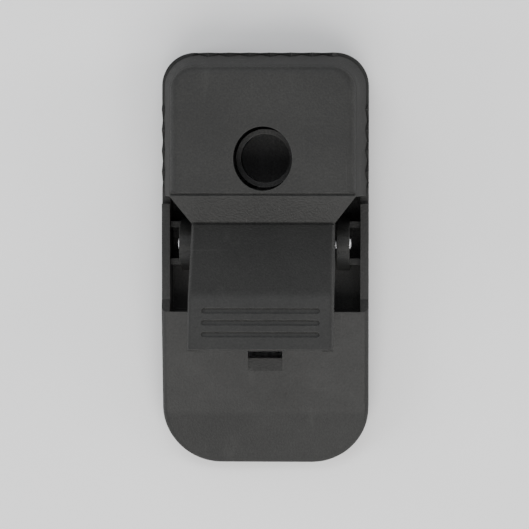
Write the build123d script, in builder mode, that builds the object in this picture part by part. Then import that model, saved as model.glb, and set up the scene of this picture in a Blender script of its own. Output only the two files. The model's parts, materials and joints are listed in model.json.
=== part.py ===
from build123d import *
import math
import os

# A jaw-type snap trap for mice, moulded in black plastic and shown sprung, with its jaw closed.
# X runs across the trap, +Y points to the mouth, +Z is up, and the base stands on Z = 0.
# The origin is the middle of the base's underside. All lengths are in millimetres.

os.makedirs("parts", exist_ok=True)

# ---------------------------------------------------------------- driving dimensions

# Base outline
LENGTH = 100.0
WIDTH = 50.0
WALL = 2.0
FLOOR = 2.0
FRONT_CORNER = 8.0
REAR_CORNER = 14.0
FRONT_Y = LENGTH / 2
SIDE_X = WIDTH / 2

# Jaw pivot, and how far the handle is pressed to set the trap
PIVOT = (4.0, 14.5)
PIN_R = 1.5
OPEN_ANGLE = 52.0
RUNNING_GAP = 0.08
PIN_STAND_OUT = 0.4
PIN_CHAMFER_SHARE = 0.2

# Bite line: the zigzag where the two jaws meet
BITE_Z = 11.0
TOOTH_HEIGHT = 3.4
TOOTH_PITCH = 5.0
BITE_GAP = 0.8
SIDE_TEETH = 4
FRONT_TEETH = 7
BITE_TURN_Y = 38.0
SIDE_BITE_START = 17.5

# Rear deck, and the heel behind it
DECK_FRONT_Y = -12.5
DECK_FRONT_Z = 14.5
DECK_RISE = 3.0
DECK_REAR = (-34.0, 10.5)
HEEL_TOP = (-37.5, 9.5)
HEEL_END_Z = 3.6
MID_RIM_Z = 12.5
DECK_BEND = 6.0
DECK_EDGE = 1.2
FOOT_CHAMFER = 0.6
DIVIDER = 2.0
HOLLOW_HEEL = (-37.1, 7.2)
HOLLOW_END_Z = 2.2
DECK_RIB_X = 12.0
DECK_RIB_THICK = 1.4
DECK_RIB_FOOT = 1.0

# Upper jaw box
JAW_TOP = 28.0
JAW_REAR_Y = 15.5
JAW_TOP_HALF = 22.0
JAW_TOP_FRONT = 46.4
JAW_RIM_HALF = 24.7
JAW_RIM_FRONT = 49.6
JAW_RIM_Z = 9.0
JAW_TOP_CORNER = 6.0
JAW_RIM_CORNER = 8.0
JAW_EDGE = 2.2
BAIT_Y = 24.5
BAIT_HOLE_WIDE = 14.0
BAIT_HOLE_LONG = 15.2
BAIT_HOLE_DEEP = 9.0

# Shoulder and press handle, as points (y, z) of the closed trap's top surface
VALLEY = (9.1, 25.3)
PAD_START = (-7.5, 40.0)
PAD_END = (-19.7, 43.0)
HANDLE_POINTS = (VALLEY, PAD_START, PAD_END)
SKIN = 2.0
HANDLE_HALF = 17.0
FLANGE = 2.5
HUB_R = 5.4
BOSS_R = 2.9
BOSS_INNER_X = 7.2
GROOVE_LONG = 27.6
GROOVE_WIDE = 1.3
GROOVE_DEEP = 0.6
GROOVE_STEP = 2.8
GROOVES = 3
SEAM = 0.6
PLATE_SEAM_Y = JAW_REAR_Y + 0.55
RIB_X = 5.4
UNDER_RIB_THICK = 1.4
RIB_PROFILE = ((3.0, 1.5), (20.0, 1.5), (18.0, 4.8), (6.0, 4.8))

# Ears that carry the pivot pin
EAR_INNER_X = 17.4
EAR_THICK = 3.0
EAR_R = 4.5

# Main springs
WIRE_R = 0.75
COIL_R = 4.1
COIL_TURNS = 4
COIL_PITCH = 1.48
COIL_START_X = -8.0
LEG_LONG = 18.0
LEG_ROOT = 0.6
LEG_WIRE_R = 0.7

# Trigger: pin axis (y, z), and the angle that lifts the pedal to its set position
TRIGGER = (-17.0, 3.0)
TRIGGER_PIN_R = 1.0
TRIGGER_HUB_R = 2.4
TRIGGER_LIFT = 12.0
BEAM_HALF = 4.0
PEDAL_HALF = 14.0
PEDAL_Z = 2.5
PEDAL_TOP = 4.7

# Bait cup
CUP_R = 7.1
CUP_WALL = 1.2
CUP_TOP = 11.0
FLANGE_R = 8.6
SOCKET_R = 9.6
SOCKET_TOP = 7.5
CUP_UNLOCK = 60.0
CUP_DOOR_R = 10.0

# Handle bends, shoulder and prong; the prong's places are those of the pressed handle
HANDLE_BENDS = (0.4, 7.0)
HANDLE_EDGE = 1.0
FLANGE_DROP = (-0.6, -1.1)
FLANGE_REAR_Y = -31.2
FLANGE_CLEAR = 0.6
FLANGE_FRONT = 5.1
SHOULDER_Z = 17.0
REAR_GATE_HALF = 15.5
REAR_GATE_TOP = 20.0
GROOVE_START = 3.4
PRONG_HALF = 3.0
PRONG_REAR_Y = -23.1
PRONG_FRONT_Y = -21.3
PRONG_TIP_Z = 7.2
PRONG_LEAD = 0.4
PRONG_CHAMFER = 1.2
PRONG_ROOT = 1.2
PRONG_ROOT_Z = 20.5
BARB_TIP_Y = -19.9
BARB_LEAD_Z = 8.4
BARB_TOP_Z = 9.7

# Sear, in the trigger's lifted position
SEAR_FOOT = (-15.9, 3.0)
SEAR_FRONT_Y = -16.3
SEAR_POST_Y = -18.4
SEAR_FOOT_Z = 2.2
SEAR_HALF = 3.0
LIP_TIP_Y = -20.9
LIP_TOP_Z = 11.7
LIP_BOTTOM_Z = 10.0
TOE_TIP_Y = -22.4
TOE_TOP_Z = 5.9
TOE_UNDER_Z = 4.4

# Catch window and the trigger's bosses
WINDOW_HALF = 4.15
WINDOW_FRONT_Y = -15.2
WINDOW_REAR_Y = -23.8
RAMP_END_Y = -27.0
RAMP_DEPTH = 0.5
BEAM_SLOT_HALF = 5.0
BEAM_SLOT_TOP = 9.0
TRIGGER_BOSS_X = 4.4
TRIGGER_BOSS_THICK = 3.0

# Ear feet and ribs
EAR_FOOT = 7.0
RIB_SPREAD = 4.5
RIB_THICK = 1.5
RIB_TOP = 10.0

# Spring legs, as directions from +Y towards +Z
UPPER_LEG_ANGLE = 123.5
LOWER_LEG_ANGLE = 207.0

# Pedal and cup details
PEDAL_REAR_Y = 11.0
PEDAL_FRONT_Y = 41.0
PEDAL_CORNER = 4.0
PEDAL_LIP = 1.0
BEAM_TOP = 5.5
CUP_FLANGE = 1.0
CUP_PLAY = 0.2
LUG_PLAY = 0.1
NOTCH_PLAY = 0.3
LUG_WIDE = 3.0
LUG_HIGH = 1.2
COIN_SLOT_LONG = 9.0
COIN_SLOT_WIDE = 1.4
COIN_SLOT_DEEP = 0.6

# Modelling allowances: how far a cut or a join runs past the surface it meets, and how near
# an edge has to be to a line to count as lying on it
OVERRUN = 1.0
TOUCH = 0.01


# ---------------------------------------------------------------- shared geometry

def turned(point, centre, degrees):
    """A point (y, z) turned about a centre, positive from +Y towards +Z."""
    y = point[0] - centre[0]
    z = point[1] - centre[1]
    angle = math.radians(degrees)
    return (
        centre[0] + y * math.cos(angle) - z * math.sin(angle),
        centre[1] + y * math.sin(angle) + z * math.cos(angle),
    )


def pressed(*points):
    """Points of the pressed handle, turned back to where they lie in the closed trap."""
    return [turned(p, PIVOT, -OPEN_ANGLE) for p in points]


def lifted(*points):
    """Points of the lifted trigger, turned back to where they lie when the pedal is down."""
    return [turned(p, TRIGGER, -TRIGGER_LIFT) for p in points]


def zigzag(start, teeth, shift):
    """The bite line as points (along, z): it runs on from start, moved up or down by shift."""
    points = []
    for tooth in range(teeth):
        base = start + tooth * TOOTH_PITCH
        points.append((base, BITE_Z + shift))
        points.append((base + TOOTH_PITCH / 4, BITE_Z + shift - TOOTH_HEIGHT / 2))
        points.append((base + 3 * TOOTH_PITCH / 4, BITE_Z + shift + TOOTH_HEIGHT / 2))
    points.append((start + teeth * TOOTH_PITCH, BITE_Z + shift))
    return points


def bite_cutter(shift, limit_z):
    """Everything between the bite line, shifted, and the level limit_z, as one solid."""
    front_half = FRONT_TEETH * TOOTH_PITCH / 2
    with BuildPart() as cutter:
        with BuildSketch(Plane.XZ.offset(-BITE_TURN_Y)):
            with BuildLine():
                Polyline(
                    (-WIDTH, limit_z),
                    (-WIDTH, BITE_Z + shift),
                    *zigzag(-front_half, FRONT_TEETH, shift),
                    (WIDTH, BITE_Z + shift),
                    (WIDTH, limit_z),
                    close=True,
                )
            make_face()
        extrude(amount=-LENGTH)
        with BuildSketch(Plane.YZ.offset(-WIDTH)):
            with BuildLine():
                Polyline(
                    (JAW_REAR_Y - WALL, limit_z),
                    (JAW_REAR_Y - WALL, BITE_Z + shift),
                    *zigzag(SIDE_BITE_START, SIDE_TEETH, shift),
                    (BITE_TURN_Y, BITE_Z + shift),
                    (BITE_TURN_Y, limit_z),
                    close=True,
                )
            make_face()
        extrude(amount=2 * WIDTH)
    return cutter.part


def base_plan(inset):
    """The base's outline seen from above, drawn in by inset."""
    with BuildSketch() as plan:
        Rectangle(WIDTH - 2 * inset, LENGTH - 2 * inset)
        fillet(plan.vertices().group_by(Axis.Y)[-1], FRONT_CORNER - inset)
        fillet(plan.vertices().group_by(Axis.Y)[0], REAR_CORNER - inset)
    return plan.sketch


def jaw_plan(half, front, corner, rear):
    """The upper jaw's outline at one level, with rounded front corners."""
    with BuildSketch() as plan:
        Polygon((-half, rear), (half, rear), (half, front), (-half, front), align=None)
        fillet(plan.vertices().group_by(Axis.Y)[-1], corner)
    return plan.sketch


# ---------------------------------------------------------------- base tray

deck_slope = (DECK_REAR[1] - DECK_FRONT_Z) / (DECK_REAR[0] - DECK_FRONT_Y)


def deck_z(y):
    """The height of the deck's top surface at y."""
    return DECK_FRONT_Z + (y - DECK_FRONT_Y) * deck_slope


def is_deck_crease(edge):
    """Whether an edge runs across the trap where the deck bends down to the heel."""
    middle = edge @ 0.5
    return abs(middle.X) < TOUCH and middle.Y < DECK_REAR[0] + TOUCH and middle.Z > HEEL_END_Z + TOUCH


def is_deck_rim(edge):
    """Whether an edge runs along the side of the deck or the heel, at the top."""
    middle = edge @ 0.5
    beside_deck = abs(middle.X) > WIDTH / 4 and middle.Y < DECK_FRONT_Y and middle.Z > FLOOR / 2
    return beside_deck and abs((edge @ 0).Y - (edge @ 1).Y) > TOUCH


# The hollow under the deck, open below
with BuildPart() as rear_hollow:
    with BuildSketch():
        add(base_plan(WALL))
        with Locations((0, DECK_FRONT_Y - DIVIDER + FRONT_Y)):
            Rectangle(WIDTH, LENGTH, mode=Mode.SUBTRACT)
    extrude(amount=DECK_FRONT_Z)
    with BuildSketch(Plane.YZ):
        with BuildLine():
            Polyline(
                (DECK_FRONT_Y - DIVIDER, -OVERRUN),
                (DECK_FRONT_Y - DIVIDER, deck_z(DECK_FRONT_Y - DIVIDER) - WALL),
                (DECK_REAR[0], DECK_REAR[1] - WALL),
                HOLLOW_HEEL,
                (-FRONT_Y + WALL, HOLLOW_END_Z),
                (-FRONT_Y + WALL, -OVERRUN),
                close=True,
            )
        make_face()
    extrude(amount=WIDTH, both=True, mode=Mode.INTERSECT)
    # Two stiffening ribs are left standing under the deck
    with Locations((-DECK_RIB_X, -FRONT_Y / 2, DECK_FRONT_Z), (DECK_RIB_X, -FRONT_Y / 2, DECK_FRONT_Z)):
        Box(DECK_RIB_THICK, LENGTH, 2 * (DECK_FRONT_Z - DECK_RIB_FOOT), mode=Mode.SUBTRACT)

with BuildPart() as base_tray:
    # Outer block, cut to the side profile
    extrude(base_plan(0), amount=DECK_FRONT_Z)
    with BuildSketch(Plane.YZ):
        with BuildLine():
            Polyline(
                (FRONT_Y, 0),
                (FRONT_Y, MID_RIM_Z),
                (DECK_FRONT_Y + DECK_RISE, MID_RIM_Z),
                (DECK_FRONT_Y, DECK_FRONT_Z),
                DECK_REAR,
                HEEL_TOP,
                (-FRONT_Y, HEEL_END_Z),
                (-FRONT_Y, 0),
                close=True,
            )
        make_face()
    extrude(amount=WIDTH, both=True, mode=Mode.INTERSECT)
    fillet([e for e in base_tray.edges() if is_deck_crease(e)], DECK_BEND)
    fillet([e for e in base_tray.edges() if is_deck_rim(e)], DECK_EDGE)
    chamfer(base_tray.faces().sort_by(Axis.Z)[0].edges(), FOOT_CHAMFER)
    # Open tray in front of the divider
    with BuildSketch(Plane.XY.offset(FLOOR)):
        add(base_plan(WALL))
        with Locations((0, DECK_FRONT_Y - FRONT_Y)):
            Rectangle(WIDTH, LENGTH, mode=Mode.SUBTRACT)
    extrude(amount=LENGTH, mode=Mode.SUBTRACT)
    add(rear_hollow.part, mode=Mode.SUBTRACT)
    # Lower teeth
    add(bite_cutter(-BITE_GAP / 2, LENGTH), mode=Mode.SUBTRACT)
    # Ears for the pivot pin, each tied to its side wall by a rib
    for side in (-1, 1):
        with BuildSketch(Plane.YZ.offset(side * EAR_INNER_X)):
            Polygon(
                (PIVOT[0] - EAR_R, PIVOT[1]),
                (PIVOT[0] + EAR_R, PIVOT[1]),
                (PIVOT[0] + EAR_FOOT, FLOOR),
                (PIVOT[0] - EAR_FOOT, FLOOR),
                align=None,
            )
            with Locations(PIVOT):
                Circle(EAR_R)
        extrude(amount=side * EAR_THICK)
        for rib_y in (PIVOT[0] - RIB_SPREAD, PIVOT[0] + RIB_SPREAD):
            with Locations((side * (EAR_INNER_X + SIDE_X) / 2, rib_y, (FLOOR + RIB_TOP) / 2)):
                Box(SIDE_X - EAR_INNER_X - WALL, RIB_THICK, RIB_TOP - FLOOR)
    with Locations((0, *PIVOT)):
        Cylinder(PIN_R, 2 * (EAR_INNER_X + EAR_THICK), rotation=(0, 90, 0), mode=Mode.SUBTRACT)
    # Catch window through the deck, with a ramp behind it
    with BuildSketch(Plane.YZ):
        Polygon(
            (WINDOW_FRONT_Y, LENGTH),
            (WINDOW_FRONT_Y, FLOOR),
            (WINDOW_REAR_Y, FLOOR),
            (WINDOW_REAR_Y, deck_z(WINDOW_REAR_Y) - RAMP_DEPTH),
            (RAMP_END_Y, deck_z(RAMP_END_Y)),
            (RAMP_END_Y, LENGTH),
            align=None,
        )
    extrude(amount=WINDOW_HALF, both=True, mode=Mode.SUBTRACT)
    # Slot in the divider for the trigger's beam
    with Locations((0, DECK_FRONT_Y - DIVIDER / 2, 0)):
        Box(2 * BEAM_SLOT_HALF, 2 * DIVIDER, 2 * BEAM_SLOT_TOP, mode=Mode.SUBTRACT)
    # Bosses for the trigger's pin, hanging from the deck
    for side in (-1, 1):
        with BuildSketch(Plane.YZ.offset(side * TRIGGER_BOSS_X)):
            Polygon(
                (TRIGGER[0] - TRIGGER_HUB_R, TRIGGER[1]),
                (TRIGGER[0] + TRIGGER_HUB_R, TRIGGER[1]),
                (TRIGGER[0] + TRIGGER_HUB_R, deck_z(TRIGGER[0] + TRIGGER_HUB_R) - WALL / 2),
                (TRIGGER[0] - TRIGGER_HUB_R, deck_z(TRIGGER[0] - TRIGGER_HUB_R) - WALL / 2),
                align=None,
            )
            with Locations(TRIGGER):
                Circle(TRIGGER_HUB_R)
        extrude(amount=side * TRIGGER_BOSS_THICK)
    with Locations((0, *TRIGGER)):
        Cylinder(
            TRIGGER_PIN_R,
            2 * (TRIGGER_BOSS_X + TRIGGER_BOSS_THICK),
            rotation=(0, 90, 0),
            mode=Mode.SUBTRACT,
        )
    # Round door in the floor, through which the bait cup drops out
    with Locations((0, BAIT_Y, 0)):
        Cylinder(CUP_DOOR_R, 3 * FLOOR, mode=Mode.SUBTRACT)
base_tray.part.label = "base_tray"
export_step(base_tray.part, "parts/base_tray.step")


# ---------------------------------------------------------------- upper jaw and press handle

slope_angle = math.atan2(JAW_TOP - VALLEY[1], JAW_REAR_Y - VALLEY[0])


def jaw_box(inset, top, bottom):
    """The jaw box as a loft that widens downwards, drawn in by inset."""
    fall = JAW_TOP - JAW_RIM_Z
    with BuildPart() as box:
        for level in (top, bottom):
            share = (JAW_TOP - level) / fall
            half = JAW_TOP_HALF + (JAW_RIM_HALF - JAW_TOP_HALF) * share
            front = JAW_TOP_FRONT + (JAW_RIM_FRONT - JAW_TOP_FRONT) * share
            corner = JAW_TOP_CORNER + (JAW_RIM_CORNER - JAW_TOP_CORNER) * share
            with BuildSketch(Plane.XY.offset(level)):
                add(jaw_plan(half - inset, front - inset, corner - inset, JAW_REAR_Y + inset))
        loft()
    return box.part


def on_handle_edge(edge, line):
    """Whether an edge runs along the side of the handle's top surface."""
    middle = edge @ 0.5
    on_side = abs(abs(middle.X) - HANDLE_HALF) < TOUCH
    return on_side and line.distance_to(Vector(middle.Y, middle.Z)) < TOUCH


with BuildPart() as jaw_shell:
    add(jaw_box(0, JAW_TOP, JAW_RIM_Z))
    top_edges = jaw_shell.faces().sort_by(Axis.Z)[-1].edges()
    fillet([e for e in top_edges if e.center().Y > JAW_REAR_Y + OVERRUN], JAW_EDGE)
    add(jaw_box(WALL, JAW_TOP - SKIN, JAW_RIM_Z - OVERRUN), mode=Mode.SUBTRACT)
    # The middle of the rear wall is cut away over the trigger's beam
    with Locations((0, JAW_REAR_Y, JAW_RIM_Z)):
        Box(2 * REAR_GATE_HALF, 3 * WALL, 2 * (REAR_GATE_TOP - JAW_RIM_Z), mode=Mode.SUBTRACT)


def shoulder_plan(inset):
    """The shoulder seen from above: it narrows from the jaw box to the handle."""
    with BuildSketch() as plan:
        Polygon(
            (-JAW_TOP_HALF + inset, JAW_REAR_Y + WALL / 2),
            (-JAW_TOP_HALF + inset, JAW_REAR_Y),
            (-HANDLE_HALF + inset, VALLEY[0] + inset),
            (HANDLE_HALF - inset, VALLEY[0] + inset),
            (JAW_TOP_HALF - inset, JAW_REAR_Y),
            (JAW_TOP_HALF - inset, JAW_REAR_Y + WALL / 2),
            align=None,
        )
    return plan.sketch


def shoulder_block(inset, drop):
    """A solid wedge under the shoulder's slope, drawn in by inset and lowered by drop."""
    reach = JAW_REAR_Y + WALL / 2
    with BuildPart() as wedge:
        with BuildSketch(Plane.XY.offset(SHOULDER_Z - drop)):
            add(shoulder_plan(inset))
        extrude(amount=JAW_TOP)
        with BuildSketch(Plane.YZ):
            Polygon(
                (VALLEY[0] - OVERRUN, 0),
                (VALLEY[0] - OVERRUN, VALLEY[1] - drop - OVERRUN * math.tan(slope_angle)),
                (reach, JAW_TOP - drop + (reach - JAW_REAR_Y) * math.tan(slope_angle)),
                (reach, 0),
                align=None,
            )
        extrude(amount=WIDTH, both=True, mode=Mode.INTERSECT)
        with Locations((0, 0, JAW_TOP + WIDTH / 2)):
            Box(WIDTH * 2, WIDTH * 2, WIDTH, mode=Mode.SUBTRACT)
    return wedge.part


def under_handle(along, down):
    """A point (y, z) along the handle's steep face from the valley, and down square to it."""
    rise = math.atan2(PAD_START[1] - VALLEY[1], VALLEY[0] - PAD_START[0])
    return (
        VALLEY[0] - along * math.cos(rise) - down * math.sin(rise),
        VALLEY[1] + along * math.sin(rise) - down * math.cos(rise),
    )


with BuildPart() as press_handle:
    # Skin of the shoulder and the handle
    with BuildSketch(Plane.YZ):
        with BuildLine():
            handle_line = FilletPolyline(
                (JAW_REAR_Y, JAW_TOP), VALLEY, PAD_START, PAD_END, radius=HANDLE_BENDS
            )
            offset(handle_line, amount=SKIN, side=Side.LEFT)
        make_face()
    extrude(amount=HANDLE_HALF, both=True)
    fillet([e for e in press_handle.edges() if on_handle_edge(e, handle_line)], HANDLE_EDGE)
    # Side flanges, from the hubs to the handle's tip
    for side in (-1, 1):
        with BuildSketch(Plane.YZ.offset(side * (HANDLE_HALF - FLANGE))):
            with BuildLine():
                under_line = FilletPolyline(
                    *[(y + FLANGE_DROP[0], z + FLANGE_DROP[1]) for y, z in HANDLE_POINTS],
                    radius=HANDLE_BENDS[1],
                )
                Polyline(
                    under_line @ 1,
                    *pressed(
                        (FLANGE_REAR_Y, deck_z(FLANGE_REAR_Y) + FLANGE_CLEAR),
                        (DECK_FRONT_Y, DECK_FRONT_Z + FLANGE_CLEAR),
                    ),
                    (PIVOT[0] - HUB_R, PIVOT[1]),
                    (PIVOT[0] + FLANGE_FRONT, PIVOT[1]),
                    under_line @ 0,
                )
            make_face()
            with Locations(PIVOT):
                Circle(HUB_R)
        extrude(amount=side * FLANGE)
        # Rib under the skin, its profile given along the steep face and down from it
        with BuildSketch(Plane.YZ.offset(side * (RIB_X - UNDER_RIB_THICK / 2))):
            Polygon(*[under_handle(along, down) for along, down in RIB_PROFILE], align=None)
        extrude(amount=side * UNDER_RIB_THICK)
        # Boss inside each hub, which the spring coils run round
        with BuildSketch(Plane.YZ.offset(side * BOSS_INNER_X)):
            with Locations(PIVOT):
                Circle(BOSS_R)
        extrude(amount=side * (HANDLE_HALF - BOSS_INNER_X - FLANGE / 2))

with BuildPart() as jaw_lever:
    add(jaw_shell.part)
    add(shoulder_block(0, 0))
    add(shoulder_block(WALL, SKIN / math.cos(slope_angle)), mode=Mode.SUBTRACT)
    add(press_handle.part)
    # Prong that enters the deck's window
    with BuildSketch(Plane.YZ):
        Polygon(
            *pressed(
                (PRONG_REAR_Y, PRONG_ROOT_Z),
                (PRONG_REAR_Y, PRONG_TIP_Z + PRONG_CHAMFER),
                (PRONG_REAR_Y + PRONG_CHAMFER, PRONG_TIP_Z),
                (PRONG_FRONT_Y + PRONG_LEAD, PRONG_TIP_Z),
                (BARB_TIP_Y, BARB_LEAD_Z),
                (BARB_TIP_Y, BARB_TOP_Z),
                (PRONG_FRONT_Y, BARB_TOP_Z),
                (PRONG_FRONT_Y + PRONG_ROOT, PRONG_ROOT_Z),
            ),
            align=None,
        )
    extrude(amount=PRONG_HALF, both=True)
    # Pin bore
    with Locations((0, *PIVOT)):
        Cylinder(PIN_R + RUNNING_GAP, WIDTH, rotation=(0, 90, 0), mode=Mode.SUBTRACT)
    # Upper teeth
    add(bite_cutter(BITE_GAP / 2, 0), mode=Mode.SUBTRACT)
    # Bait hole
    with BuildSketch(Plane.XY.offset(JAW_TOP)):
        with Locations((0, BAIT_Y)):
            Ellipse(BAIT_HOLE_WIDE / 2, BAIT_HOLE_LONG / 2)
    extrude(amount=-BAIT_HOLE_DEEP, mode=Mode.SUBTRACT)
    # Narrow seams that divide the top plate, the shoulder and the handle
    with Locations((0, PLATE_SEAM_Y, JAW_TOP), (0, *VALLEY)):
        Box(WIDTH, SEAM, 2 * SEAM, mode=Mode.SUBTRACT)
    # Finger grooves across the pad
    pad_angle = math.atan2(PAD_END[1] - PAD_START[1], PAD_START[0] - PAD_END[0])
    for groove in range(GROOVES):
        along = GROOVE_START + groove * GROOVE_STEP
        spot = (
            0,
            PAD_START[0] - along * math.cos(pad_angle),
            PAD_START[1] + along * math.sin(pad_angle),
        )
        with BuildSketch(Plane(spot, (1, 0, 0), (0, math.sin(pad_angle), math.cos(pad_angle)))):
            SlotOverall(GROOVE_LONG, GROOVE_WIDE)
        extrude(amount=-GROOVE_DEEP, mode=Mode.SUBTRACT)
jaw_lever.part.label = "jaw_lever"
export_step(jaw_lever.part, "parts/jaw_lever.step")


# ---------------------------------------------------------------- pins

def steel_pin(radius, reach, place):
    """A steel pin across the trap, with both ends lightly chamfered."""
    with BuildPart() as pin:
        with BuildSketch(Plane.YZ.offset(-reach)):
            with Locations(place):
                Circle(radius)
        extrude(amount=2 * reach)
        chamfer(pin.edges().filter_by(GeomType.CIRCLE), radius * PIN_CHAMFER_SHARE)
    return pin.part


with BuildPart() as jaw_pivot_pin:
    add(steel_pin(PIN_R, EAR_INNER_X + EAR_THICK + PIN_STAND_OUT, PIVOT))
jaw_pivot_pin.part.label = "jaw_pivot_pin"
export_step(jaw_pivot_pin.part, "parts/jaw_pivot_pin.step")

with BuildPart() as trigger_pivot_pin:
    add(steel_pin(TRIGGER_PIN_R, TRIGGER_BOSS_X + TRIGGER_BOSS_THICK, TRIGGER))
trigger_pivot_pin.part.label = "trigger_pivot_pin"
export_step(trigger_pivot_pin.part, "parts/trigger_pivot_pin.step")


# ---------------------------------------------------------------- main springs

def spring_leg(x, degrees, turn_way):
    """One straight leg: it leaves the coil along a tangent, in the direction given.

    Its root is a hair thinner than the coil's wire, so that it starts inside the coil.
    """
    direction = (math.cos(math.radians(degrees)), math.sin(math.radians(degrees)))
    outward = (-direction[1] * turn_way, direction[0] * turn_way)
    start = (
        x,
        PIVOT[0] + COIL_R * outward[0] - LEG_ROOT * direction[0],
        PIVOT[1] + COIL_R * outward[1] - LEG_ROOT * direction[1],
    )
    with BuildPart() as leg:
        with BuildSketch(Plane(start, (1, 0, 0), (0, *direction))):
            Circle(LEG_WIRE_R)
        extrude(amount=LEG_LONG)
        fillet(leg.faces().sort_by(Axis.Z)[-1 if direction[1] > 0 else 0].edges(), WIRE_R / 2)
    return leg.part


# The coil of one spring: close-wound turns round the pivot axis
with BuildPart() as coil:
    with BuildSketch(Plane.XY):
        for turn in range(COIL_TURNS):
            with Locations((COIL_START_X - turn * COIL_PITCH, COIL_R)):
                Circle(WIRE_R)
    revolve(axis=Axis.X)

with BuildPart() as torsion_spring_left:
    add(Location((0, *PIVOT)) * coil.part)
    add(spring_leg(COIL_START_X, UPPER_LEG_ANGLE, -1))
    add(spring_leg(COIL_START_X - (COIL_TURNS - 1) * COIL_PITCH, LOWER_LEG_ANGLE, 1))
torsion_spring_left.part.label = "torsion_spring_left"
export_step(torsion_spring_left.part, "parts/torsion_spring_left.step")

with BuildPart() as torsion_spring_right:
    add(mirror(torsion_spring_left.part, about=Plane.YZ, mode=Mode.PRIVATE))
torsion_spring_right.part.label = "torsion_spring_right"
export_step(torsion_spring_right.part, "parts/torsion_spring_right.step")


# ---------------------------------------------------------------- trigger pedal

with BuildPart() as trigger_pedal:
    # Beam under the spring coils
    with Locations((0, (TRIGGER[0] + PEDAL_REAR_Y + OVERRUN) / 2, (PEDAL_Z + BEAM_TOP) / 2)):
        Box(2 * BEAM_HALF, PEDAL_REAR_Y + OVERRUN - TRIGGER[0], BEAM_TOP - PEDAL_Z)
    # Pedal plate with a raised rim
    with BuildSketch(Plane.XY.offset(PEDAL_Z)):
        with Locations((0, (PEDAL_REAR_Y + PEDAL_FRONT_Y) / 2)):
            RectangleRounded(2 * PEDAL_HALF, PEDAL_FRONT_Y - PEDAL_REAR_Y, PEDAL_CORNER)
    extrude(amount=PEDAL_TOP - PEDAL_Z)
    with BuildSketch(Plane.XY.offset(PEDAL_TOP - PEDAL_LIP)):
        with Locations((0, (PEDAL_REAR_Y + PEDAL_FRONT_Y) / 2)):
            RectangleRounded(
                2 * (PEDAL_HALF - PEDAL_LIP),
                PEDAL_FRONT_Y - PEDAL_REAR_Y - 2 * PEDAL_LIP,
                PEDAL_CORNER - PEDAL_LIP,
            )
    extrude(amount=PEDAL_LIP, mode=Mode.SUBTRACT)
    # Socket for the bait cup
    with Locations((0, BAIT_Y, (PEDAL_Z + SOCKET_TOP) / 2)):
        Cylinder(SOCKET_R, SOCKET_TOP - PEDAL_Z)
        Cylinder(CUP_R + RUNNING_GAP, SOCKET_TOP, mode=Mode.SUBTRACT)
    with Locations((0, BAIT_Y, PEDAL_Z)):
        Cylinder(FLANGE_R + CUP_PLAY, 2 * (CUP_FLANGE + CUP_PLAY), mode=Mode.SUBTRACT)
    # Two notches that let the cup's lugs through when it is turned
    with Locations(Location((0, BAIT_Y, 0), (0, 0, CUP_UNLOCK))):
        Box(2 * (FLANGE_R + CUP_PLAY), LUG_WIDE + 2 * NOTCH_PLAY, 4 * SOCKET_TOP, mode=Mode.SUBTRACT)
    # Hub
    with BuildSketch(Plane.YZ.offset(-BEAM_HALF)):
        with Locations(TRIGGER):
            Circle(TRIGGER_HUB_R)
    extrude(amount=2 * BEAM_HALF)
    # Sear: post, lip over the barb, and a toe under the prong
    with BuildSketch(Plane.YZ):
        Polygon(
            *lifted(
                SEAR_FOOT,
                (SEAR_FRONT_Y, LIP_TOP_Z),
                (LIP_TIP_Y, LIP_TOP_Z),
                (LIP_TIP_Y, LIP_BOTTOM_Z),
                (SEAR_POST_Y, LIP_BOTTOM_Z),
                (SEAR_POST_Y, TOE_TOP_Z),
                (TOE_TIP_Y, TOE_TOP_Z),
                (TOE_TIP_Y, TOE_UNDER_Z),
                (SEAR_POST_Y, SEAR_FOOT_Z),
            ),
            align=None,
        )
    extrude(amount=SEAR_HALF, both=True)
    with Locations((0, *TRIGGER)):
        Cylinder(TRIGGER_PIN_R + RUNNING_GAP, WIDTH, rotation=(0, 90, 0), mode=Mode.SUBTRACT)
trigger_pedal.part.label = "trigger_pedal"
export_step(trigger_pedal.part, "parts/trigger_pedal.step")


# ---------------------------------------------------------------- bait cup

with BuildPart() as bait_cup:
    with BuildSketch(Plane.XZ.offset(-BAIT_Y)):
        Polygon(
            (0, PEDAL_Z),
            (FLANGE_R, PEDAL_Z),
            (FLANGE_R, PEDAL_Z + CUP_FLANGE),
            (CUP_R, PEDAL_Z + CUP_FLANGE),
            (CUP_R, CUP_TOP),
            (CUP_R - CUP_WALL, CUP_TOP),
            (CUP_R - CUP_WALL, PEDAL_Z + CUP_WALL),
            (0, PEDAL_Z + CUP_WALL),
            align=None,
        )
    revolve(axis=Axis((0, BAIT_Y, 0), (0, 0, 1)))
    # Lugs that hold the cup down on the socket
    for side in (-1, 1):
        lug_reach = FLANGE_R - CUP_R + CUP_WALL / 2
        lug_x = side * (FLANGE_R - lug_reach / 2)
        with Locations((lug_x, BAIT_Y, SOCKET_TOP + LUG_PLAY + LUG_HIGH / 2)):
            Box(lug_reach, LUG_WIDE, LUG_HIGH)
    # Coin slot underneath
    with Locations((0, BAIT_Y, PEDAL_Z)):
        Box(COIN_SLOT_LONG, COIN_SLOT_WIDE, 2 * COIN_SLOT_DEEP, mode=Mode.SUBTRACT)
bait_cup.part.label = "bait_cup"
export_step(bait_cup.part, "parts/bait_cup.step")
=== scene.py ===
import json
import math
from typing import NamedTuple

import bpy
from mathutils import Matrix, Vector


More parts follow.
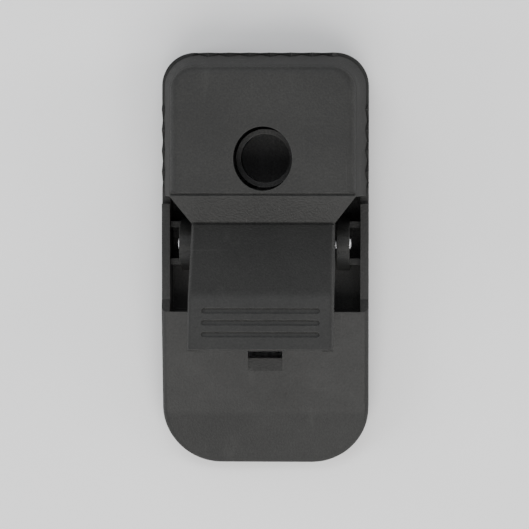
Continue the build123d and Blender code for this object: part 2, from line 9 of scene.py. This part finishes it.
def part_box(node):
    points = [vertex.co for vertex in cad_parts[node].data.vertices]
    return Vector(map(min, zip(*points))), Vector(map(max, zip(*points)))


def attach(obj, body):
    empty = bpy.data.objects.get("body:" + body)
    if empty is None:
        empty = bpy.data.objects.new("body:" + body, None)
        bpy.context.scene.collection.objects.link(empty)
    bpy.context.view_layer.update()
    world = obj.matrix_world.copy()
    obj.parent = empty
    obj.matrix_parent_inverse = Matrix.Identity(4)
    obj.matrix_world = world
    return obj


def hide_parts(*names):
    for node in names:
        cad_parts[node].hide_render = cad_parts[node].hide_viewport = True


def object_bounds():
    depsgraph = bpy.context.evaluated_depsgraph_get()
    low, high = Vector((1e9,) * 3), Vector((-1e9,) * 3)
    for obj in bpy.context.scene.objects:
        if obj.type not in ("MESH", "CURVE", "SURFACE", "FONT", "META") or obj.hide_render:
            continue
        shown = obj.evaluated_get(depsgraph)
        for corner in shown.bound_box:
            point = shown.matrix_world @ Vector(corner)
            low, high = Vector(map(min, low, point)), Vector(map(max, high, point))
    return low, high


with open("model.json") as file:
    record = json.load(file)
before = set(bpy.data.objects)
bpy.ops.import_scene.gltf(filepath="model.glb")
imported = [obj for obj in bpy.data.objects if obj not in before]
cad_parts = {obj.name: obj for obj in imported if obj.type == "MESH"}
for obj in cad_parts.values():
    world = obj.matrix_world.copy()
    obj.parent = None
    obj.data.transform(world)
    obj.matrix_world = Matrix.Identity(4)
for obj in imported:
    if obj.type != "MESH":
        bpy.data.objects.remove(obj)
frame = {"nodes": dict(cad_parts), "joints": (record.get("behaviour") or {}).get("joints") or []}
cad_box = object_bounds()

# Lengths are in metres, as the frame has them; MM turns millimetres into metres.
MM = 0.001

# ---------------------------------------------------------------- places, taken from the frame

low, high = cad_box
CENTRE = Vector(((low[0] + high[0]) / 2, (low[1] + high[1]) / 2, 0))
LENGTH = high[1] - low[1]
JOINTS = {joint["name"]: joint for joint in frame["joints"]}
PIVOT = Vector(JOINTS["jaw_open"]["pos_m"])

# ---------------------------------------------------------------- patterns

class Pattern(NamedTuple):
    """Noise of a scale per metre, with a number of octaves and their roughness, that can be
    stretched along an axis. It is spread over two colours or values from start to end."""

    scale: float
    detail: float = 4.0
    roughness: float = 0.55
    stretch: tuple = ()
    start: float = 0.0
    end: float = 1.0


# Moulded plastic
MOTTLE = Pattern(60.0, detail=5.0, start=0.30, end=0.72)
SPECKLE = Pattern(2100.0, detail=3.0, start=0.32, end=0.68)
SCUFFS = Pattern(160.0, detail=6.0, roughness=0.7, stretch=(1.0, 0.22, 1.0), start=0.60, end=0.74)
SCRATCHES_ALONG = Pattern(3000.0, detail=2.0, stretch=(1.0, 0.010, 0.2), start=0.71, end=0.75)
SCRATCHES_ACROSS = Pattern(2700.0, detail=2.0, stretch=(0.012, 1.0, 0.2), start=0.72, end=0.76)
RUBBING = Pattern(420.0, start=0.35, end=0.62)
GLOSS_PATCHES = Pattern(110.0, detail=3.0, start=0.3, end=0.7)
FINE_GRAIN = Pattern(3600.0, detail=4.0)
SINKS = Pattern(45.0, detail=2.0)

# Steel, and the floor
STEEL_PATCHES = Pattern(220.0, detail=5.0, start=0.32, end=0.7)
DRAW_LINES = Pattern(900.0, detail=6.0, roughness=0.7, stretch=(0.15, 1.0, 1.0), start=0.3, end=0.7)
STEEL_DENTS = Pattern(300.0)
FLOOR_CLOUDS = Pattern(9.0, start=0.3, end=0.7)

# Spark-eroded cells, per metre
CELL_SCALE = 2400.0

# Rounded edges: how far the shading is softened, how wide the rubbed band is, and how far the
# softened normal leans from the true one where the band starts and ends
BEVEL_SAMPLES = 6
EDGE_SOFTNESS = 0.25 * MM
RUBBED_WIDTH = 0.4 * MM
EDGE_FULL = 0.70
EDGE_NONE = 0.96

# Walls: how far a face's normal may lean up or down for the face to count fully as a wall, and
# from where on it doesn't count as one
WALL_FULL = 0.25
WALL_NONE = 0.60

# Sockets of the colour mix node
MIX_FACTOR = 0
MIX_FIRST = 6
MIX_SECOND = 7
MIX_RESULT = 2

# ---------------------------------------------------------------- node helpers


class Tree:
    """A material's node tree, with short calls for the nodes that the finishes share."""

    def __init__(self, name):
        self.material = bpy.data.materials.new(name)
        self.material.use_nodes = True
        self.nodes = self.material.node_tree.nodes
        self.links = self.material.node_tree.links
        self.shader = self.nodes["Principled BSDF"]
        coordinates = self.add("ShaderNodeTexCoord")
        self.place = coordinates.outputs["Object"]
        self.facing = coordinates.outputs["Normal"]

    def add(self, kind, **settings):
        node = self.nodes.new(kind)
        for key, value in settings.items():
            setattr(node, key, value)
        return node

    def link(self, source, target):
        self.links.new(source, target)

    def feed(self, value, socket):
        """Links an output to a socket, or sets the socket to a number or a colour."""
        if isinstance(value, bpy.types.NodeSocket):
            self.link(value, socket)
        elif isinstance(value, tuple):
            socket.default_value = (*value, 1.0)
        else:
            socket.default_value = value

    def noise(self, pattern):
        """A pattern's noise, in the object's own coordinates."""
        node = self.add("ShaderNodeTexNoise")
        node.inputs["Scale"].default_value = pattern.scale
        node.inputs["Detail"].default_value = pattern.detail
        node.inputs["Roughness"].default_value = pattern.roughness
        if pattern.stretch:
            mapping = self.add("ShaderNodeMapping")
            mapping.inputs["Scale"].default_value = pattern.stretch
            self.link(self.place, mapping.inputs["Vector"])
            self.link(mapping.outputs["Vector"], node.inputs["Vector"])
        else:
            self.link(self.place, node.inputs["Vector"])
        return node.outputs["Fac"]

    def cells(self):
        """Fine cells, as spark-eroded mould texture leaves them."""
        node = self.add("ShaderNodeTexVoronoi", feature="SMOOTH_F1")
        node.inputs["Scale"].default_value = CELL_SCALE
        self.link(self.place, node.inputs["Vector"])
        return node.outputs["Distance"]

    def ramp(self, source, start, end, first, last):
        """Goes from first at start to last at end; each is a grey or a colour."""
        node = self.add("ShaderNodeValToRGB")
        stops = ((start, first), (end, last))
        for element, (position, colour) in zip(node.color_ramp.elements, stops):
            element.position = position
            if not isinstance(colour, tuple):
                colour = (colour, colour, colour)
            element.color = (*colour, 1.0)
        self.link(source, node.inputs["Fac"])
        return node.outputs["Color"]

    def spread(self, pattern, first, last):
        """A pattern's noise, spread from first to last."""
        return self.ramp(self.noise(pattern), pattern.start, pattern.end, first, last)

    def blend(self, factor, first, second, how="MIX"):
        """Two colours mixed; each may be an output or a colour."""
        node = self.add("ShaderNodeMix", data_type="RGBA", blend_type=how)
        self.feed(factor, node.inputs[MIX_FACTOR])
        self.feed(first, node.inputs[MIX_FIRST])
        self.feed(second, node.inputs[MIX_SECOND])
        return node.outputs[MIX_RESULT]

    def maths(self, operation, first, second):
        node = self.add("ShaderNodeMath", operation=operation)
        self.feed(first, node.inputs[0])
        self.feed(second, node.inputs[1])
        return node.outputs[0]

    def edges(self, radius):
        """1 on flat surface, falling towards 0 within radius of a sharp edge."""
        bevel = self.add("ShaderNodeBevel", samples=BEVEL_SAMPLES)
        bevel.inputs["Radius"].default_value = radius
        plain = self.add("ShaderNodeNewGeometry")
        dot = self.add("ShaderNodeVectorMath", operation="DOT_PRODUCT")
        self.link(bevel.outputs["Normal"], dot.inputs[0])
        self.link(plain.outputs["Normal"], dot.inputs[1])
        return dot.outputs["Value"]

    def walls(self):
        """1 on faces that stand upright in the object's own frame, and 0 on flatter ones."""
        split = self.add("ShaderNodeSeparateXYZ")
        self.link(self.facing, split.inputs["Vector"])
        leaning = self.maths("ABSOLUTE", split.outputs["Z"], 0.0)
        return self.ramp(leaning, WALL_FULL, WALL_NONE, 1.0, 0.0)

    def bumps(self, *layers):
        """Bump layers (height output, strength, distance) over a softly rounded edge."""
        normal = self.add("ShaderNodeBevel", samples=BEVEL_SAMPLES)
        normal.inputs["Radius"].default_value = EDGE_SOFTNESS
        last = normal.outputs["Normal"]
        for height, strength, distance in layers:
            bump = self.add("ShaderNodeBump")
            bump.inputs["Strength"].default_value = strength
            bump.inputs["Distance"].default_value = distance
            self.link(height, bump.inputs["Height"])
            self.link(last, bump.inputs["Normal"])
            last = bump.outputs["Normal"]
        self.link(last, self.shader.inputs["Normal"])


# ---------------------------------------------------------------- materials

# Moulded plastic: the speckle's spread, how strongly each kind of wear shows, how many times
# paler than the plastic it is, and how wear, patches and upright walls change the roughness
SPECKLE_DARK = 0.78
SPECKLE_LIGHT = 1.22
SCUFF_SHARE = 0.35
SCUFF_PALER = 2.1
SCRATCH_SHARE = 0.22
SCRATCH_PALER = 2.6
RUBBED_PALER = 3.0
LEAST_RUBBED = 0.25
WORN_SMOOTHER = 0.14
WORN_SHARE = 0.6
WALL_ROUGHNESS = 0.95
PATCH_SMOOTHER = 0.03
PATCH_ROUGHER = 0.04
PLASTIC_SPECULAR = 0.30
CELL_DEEP = 0.10 * MM
FINE_GRAIN_DEEP = 0.05 * MM
SINK_DEEP = 0.10 * MM
SINK_STRENGTH = 0.12

# Steel: how the draw lines change the roughness, and the bumps' strengths and depths
LINE_SMOOTHER = 0.08
LINE_ROUGHER = 0.12
LINE_STRENGTH = 0.2
LINE_DEEP = 0.02 * MM
DENT_STRENGTH = 0.15
DENT_DEEP = 0.04 * MM

# Floor
FLOOR_DARK = (0.86, 0.86, 0.855)
FLOOR_LIGHT = (0.89, 0.89, 0.885)
FLOOR_ROUGHNESS = 0.75
FLOOR_SPECULAR = 0.25


def moulded_plastic(name, dark, light, roughness, grain, wear):
    """Dark moulded plastic: mottled and speckled colour, spark-eroded grain, hairline
    scratches, faint scuffs, edges rubbed paler and smoother, and upright walls left rougher."""
    tree = Tree(name)

    def paler(times):
        return tuple(times * channel for channel in light)

    colour = tree.spread(MOTTLE, dark, light)
    speckle = tree.spread(SPECKLE, SPECKLE_DARK, SPECKLE_LIGHT)
    colour = tree.blend(1.0, colour, speckle, "MULTIPLY")
    scuff = tree.spread(SCUFFS, 0.0, 1.0)
    along = tree.spread(SCRATCHES_ALONG, 0.0, 1.0)
    across = tree.spread(SCRATCHES_ACROSS, 0.0, 1.0)
    scratch = tree.maths("MAXIMUM", along, across)
    edge = tree.ramp(tree.edges(RUBBED_WIDTH), EDGE_FULL, EDGE_NONE, 1.0, 0.0)
    rubbed = tree.maths("MULTIPLY", edge, tree.spread(RUBBING, LEAST_RUBBED, 1.0))
    colour = tree.blend(tree.maths("MULTIPLY", scuff, SCUFF_SHARE), colour, paler(SCUFF_PALER))
    colour = tree.blend(tree.maths("MULTIPLY", scratch, SCRATCH_SHARE), colour, paler(SCRATCH_PALER))
    colour = tree.blend(tree.maths("MULTIPLY", rubbed, wear), colour, paler(RUBBED_PALER))
    tree.link(colour, tree.shader.inputs["Base Color"])

    patches = tree.spread(GLOSS_PATCHES, roughness - PATCH_SMOOTHER, roughness + PATCH_ROUGHER)
    patches = tree.blend(tree.walls(), patches, (WALL_ROUGHNESS,) * 3)
    worn = tree.maths("MULTIPLY", tree.maths("MAXIMUM", rubbed, scratch), WORN_SHARE)
    rough = tree.blend(worn, patches, (roughness - WORN_SMOOTHER,) * 3)
    tree.link(rough, tree.shader.inputs["Roughness"])
    tree.shader.inputs["Specular IOR Level"].default_value = PLASTIC_SPECULAR
    tree.bumps(
        (tree.cells(), grain, CELL_DEEP),
        (tree.noise(FINE_GRAIN), grain, FINE_GRAIN_DEEP),
        (tree.noise(SINKS), SINK_STRENGTH, SINK_DEEP),
    )
    return tree.material


def drawn_steel(name, dark, light, roughness):
    """Drawn wire or bar: faint lines along the draw, duller and browner in patches."""
    tree = Tree(name)
    tree.link(tree.spread(STEEL_PATCHES, dark, light), tree.shader.inputs["Base Color"])
    tree.shader.inputs["Metallic"].default_value = 1.0
    lines = tree.noise(DRAW_LINES)
    rough = tree.ramp(
        lines,
        DRAW_LINES.start,
        DRAW_LINES.end,
        roughness - LINE_SMOOTHER,
        roughness + LINE_ROUGHER,
    )
    tree.link(rough, tree.shader.inputs["Roughness"])
    tree.bumps(
        (lines, LINE_STRENGTH, LINE_DEEP),
        (tree.noise(STEEL_DENTS), DENT_STRENGTH, DENT_DEEP),
    )
    return tree.material


def pale_floor(name):
    """A plain matt sheet with the faintest unevenness."""
    tree = Tree(name)
    colour = tree.spread(FLOOR_CLOUDS, FLOOR_DARK, FLOOR_LIGHT)
    tree.link(colour, tree.shader.inputs["Base Color"])
    tree.shader.inputs["Roughness"].default_value = FLOOR_ROUGHNESS
    tree.shader.inputs["Specular IOR Level"].default_value = FLOOR_SPECULAR
    return tree.material


charcoal = moulded_plastic(
    "charcoal_plastic",
    dark=(0.0142, 0.0142, 0.0134),
    light=(0.0202, 0.0202, 0.0190),
    roughness=0.52,
    grain=0.6,
    wear=0.8,
)
# Trigger: a paler copy of the charcoal plastic, painted light, lifted so that the trigger reads
# brighter where it sits in shade inside the jaw box.
trigger_painted_light = moulded_plastic(
    "trigger_plastic",
    dark=(0.024, 0.024, 0.024),
    light=(0.034, 0.034, 0.034),
    roughness=0.42,
    grain=0.5,
    wear=0.5,
)
# Bait cup: partly a dark grey plastic a shade paler than the jaw, and partly painted light, lifted
# further so that the shaded inside of the bait hole reads less black.
cup_grey_and_painted_light = moulded_plastic(
    "cup_plastic",
    dark=(0.062, 0.062, 0.061),
    light=(0.078, 0.078, 0.076),
    roughness=0.45,
    grain=0.4,
    wear=0.5,
)
pin_steel = drawn_steel(
    "pin_steel",
    dark=(0.42, 0.42, 0.43),
    light=(0.60, 0.60, 0.61),
    roughness=0.30,
)
spring_steel = drawn_steel(
    "spring_steel",
    dark=(0.30, 0.295, 0.285),
    light=(0.48, 0.475, 0.46),
    roughness=0.34,
)
FINISHES = {
    "base_tray": charcoal,
    "jaw_lever": charcoal,
    "trigger_pedal": trigger_painted_light,
    "bait_cup": cup_grey_and_painted_light,
    "jaw_pivot_pin": pin_steel,
    "trigger_pivot_pin": pin_steel,
    "torsion_spring_left": spring_steel,
    "torsion_spring_right": spring_steel,
}
for node_name, finish in FINISHES.items():
    materials = frame["nodes"][node_name].data.materials
    materials.clear()
    materials.append(finish)


# ---------------------------------------------------------------- springs

# Leg directions are angles from +Y towards +Z. A wire's last stretch, END_ROUND of its radius
# long, narrows to END_TAPER of its thickness, which rounds the cut end.
WIRE_R = 0.75 * MM
WIRE_SIDES = 16
END_TAPER = 0.55
END_ROUND = 0.4
COIL_R = 4.1 * MM
COIL_TURNS = 2
STEPS_A_TURN = 48
LEG_LONG = 18.0 * MM
UPPER_LEG = math.radians(123.5)
LOWER_LEG = math.radians(207.0)
QUARTER_TURN = math.pi / 2
FULL_TURN = 2 * math.pi


def wire(name, points, body):
    """A round wire along a path, with closed, rounded ends, as a mesh that rides on a body."""
    curve = bpy.data.curves.new(name, "CURVE")
    curve.dimensions = "3D"
    curve.bevel_depth = WIRE_R
    curve.bevel_resolution = WIRE_SIDES // 4
    curve.use_fill_caps = True
    spline = curve.splines.new("POLY")
    spline.points.add(len(points) - 1)
    for target, point in zip(spline.points, points):
        target.co = (*point, 1.0)
    for end in (0, -1):
        spline.points[end].radius = END_TAPER
    source = bpy.data.objects.new(name + "_path", curve)
    bpy.context.scene.collection.objects.link(source)
    mesh = bpy.data.meshes.new_from_object(source)
    bpy.data.objects.remove(source)
    mesh.name = name
    for face in mesh.polygons:
        face.use_smooth = True
    piece = bpy.data.objects.new(name, mesh)
    bpy.context.scene.collection.objects.link(piece)
    piece.data.materials.append(spring_steel)
    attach(piece, body)
    return piece


def on_coil(x, angle):
    """A point on the coil's centre line."""
    return PIVOT + Vector((x, COIL_R * math.cos(angle), COIL_R * math.sin(angle)))


def leg(x, angle, way):
    """A straight leg's points, from its tangent point on the coil outwards."""
    direction = Vector((0, math.cos(angle), math.sin(angle)))
    root = PIVOT + Vector((x, -way * COIL_R * direction.z, way * COIL_R * direction.y))
    tip = root + direction * LEG_LONG
    return [root, root.lerp(tip, 0.5), tip - direction * WIRE_R * END_ROUND, tip]


def spring(label):
    """Coil and lower leg stay with the base; the upper leg follows the jaw round a closed turn."""
    near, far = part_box(f"torsion_spring_{label}")
    inner_x, outer_x = sorted((near[0], far[0]), key=abs)
    inner_x += math.copysign(WIRE_R, inner_x)
    outer_x -= math.copysign(WIRE_R, outer_x)
    start_angle = UPPER_LEG - QUARTER_TURN
    points = [
        on_coil(inner_x, start_angle + FULL_TURN * step / STEPS_A_TURN)
        for step in range(STEPS_A_TURN, 0, -1)
    ]
    turned = start_angle - (LOWER_LEG + QUARTER_TURN - FULL_TURN * (COIL_TURNS + 1))
    count = round(STEPS_A_TURN * turned / FULL_TURN)
    for step in range(count + 1):
        share = step / count
        x = inner_x + (outer_x - inner_x) * share
        points.append(on_coil(x, start_angle - turned * share))
    points.extend(leg(outer_x, LOWER_LEG, 1)[1:])
    coil = wire(f"spring_coil_{label}", points, "base")
    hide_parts(f"torsion_spring_{label}")
    wire(f"spring_arm_{label}", leg(inner_x, UPPER_LEG, -1), "jaw")


spring("left")
spring("right")


# ---------------------------------------------------------------- floor

# The floor lies a hair under the base, so that the two faces don't fight when seen from below.
FLOOR_GAP = 0.02 * MM
FLOOR_HALF = 3.0

floor_mesh = bpy.data.meshes.new("floor")
floor_mesh.from_pydata(
    [
        (-FLOOR_HALF, -FLOOR_HALF, 0),
        (FLOOR_HALF, -FLOOR_HALF, 0),
        (FLOOR_HALF, FLOOR_HALF, 0),
        (-FLOOR_HALF, FLOOR_HALF, 0),
    ],
    [],
    [(0, 1, 2, 3)],
)
floor = bpy.data.objects.new("floor", floor_mesh)
bpy.context.scene.collection.objects.link(floor)
floor.location.z = low[2] - FLOOR_GAP
floor.data.materials.append(pale_floor("floor_paint"))


# ---------------------------------------------------------------- camera

# The camera looks down from high above the trap and a little aside of it. AIM is the point in
# the middle of the picture, and VIEW_LENGTH is what the picture's side spans there.
CAMERA_HEIGHT = 0.72
CAMERA_ASIDE = (0.028, 0.029)
AIM = CENTRE + Vector((0, -0.001, 0.016))
VIEW_LENGTH = 1.27 * LENGTH
PICTURE_TOP = Vector((0, 1, 0))


def aimed(thing, target, up):
    """Turns a camera or light to look at target, with up towards the picture's top."""
    back = (thing.location - target).normalized()
    right = up.cross(back).normalized()
    thing.rotation_euler = Matrix((right, back.cross(right), back)).transposed().to_euler()


camera = bpy.data.objects.new("camera", bpy.data.cameras.new("camera"))
bpy.context.scene.collection.objects.link(camera)
camera.location = AIM + Vector((*CAMERA_ASIDE, CAMERA_HEIGHT))
camera.data.lens = camera.data.sensor_width * CAMERA_HEIGHT / VIEW_LENGTH
aimed(camera, AIM, PICTURE_TOP)
bpy.context.scene.camera = camera


# ---------------------------------------------------------------- lights

LIGHT_UP = Vector((0, 1, 0.01))
WORLD_COLOUR = (0.95, 0.96, 1.0)
WORLD_STRENGTH = 0.58


def soft_light(name, place, size, watts, colour):
    """A rectangular lamp aimed at the trap."""
    light = bpy.data.lights.new(name, "AREA")
    light.shape = "RECTANGLE"
    light.size, light.size_y = size
    light.energy = watts
    light.color = colour
    lamp = bpy.data.objects.new(name, light)
    bpy.context.scene.collection.objects.link(lamp)
    lamp.location = place
    aimed(lamp, CENTRE, LIGHT_UP)


soft_light(
    "key",
    place=(0.10, -0.48, 0.88),
    size=(0.9, 0.5),
    watts=8.0,
    colour=(1.0, 0.985, 0.96),
)
soft_light(
    "front",
    place=(-0.15, 0.58, 0.80),
    size=(0.9, 0.4),
    watts=4.0,
    colour=(0.96, 0.98, 1.0),
)
soft_light(
    "side_left",
    place=(-0.85, -0.20, 0.34),
    size=(0.7, 0.35),
    watts=3.2,
    colour=(0.98, 0.99, 1.0),
)
soft_light(
    "side_right",
    place=(0.85, 0.10, 0.34),
    size=(0.7, 0.35),
    watts=2.4,
    colour=(1.0, 0.99, 0.98),
)
soft_light(
    "low_rear",
    place=(0.15, -0.95, 0.22),
    size=(0.7, 0.3),
    watts=1.6,
    colour=(1.0, 1.0, 1.0),
)

world = bpy.data.worlds.new("studio")
bpy.context.scene.world = world
world.use_nodes = True
background = world.node_tree.nodes["Background"]
background.inputs["Color"].default_value = (*WORLD_COLOUR, 1.0)
background.inputs["Strength"].default_value = WORLD_STRENGTH
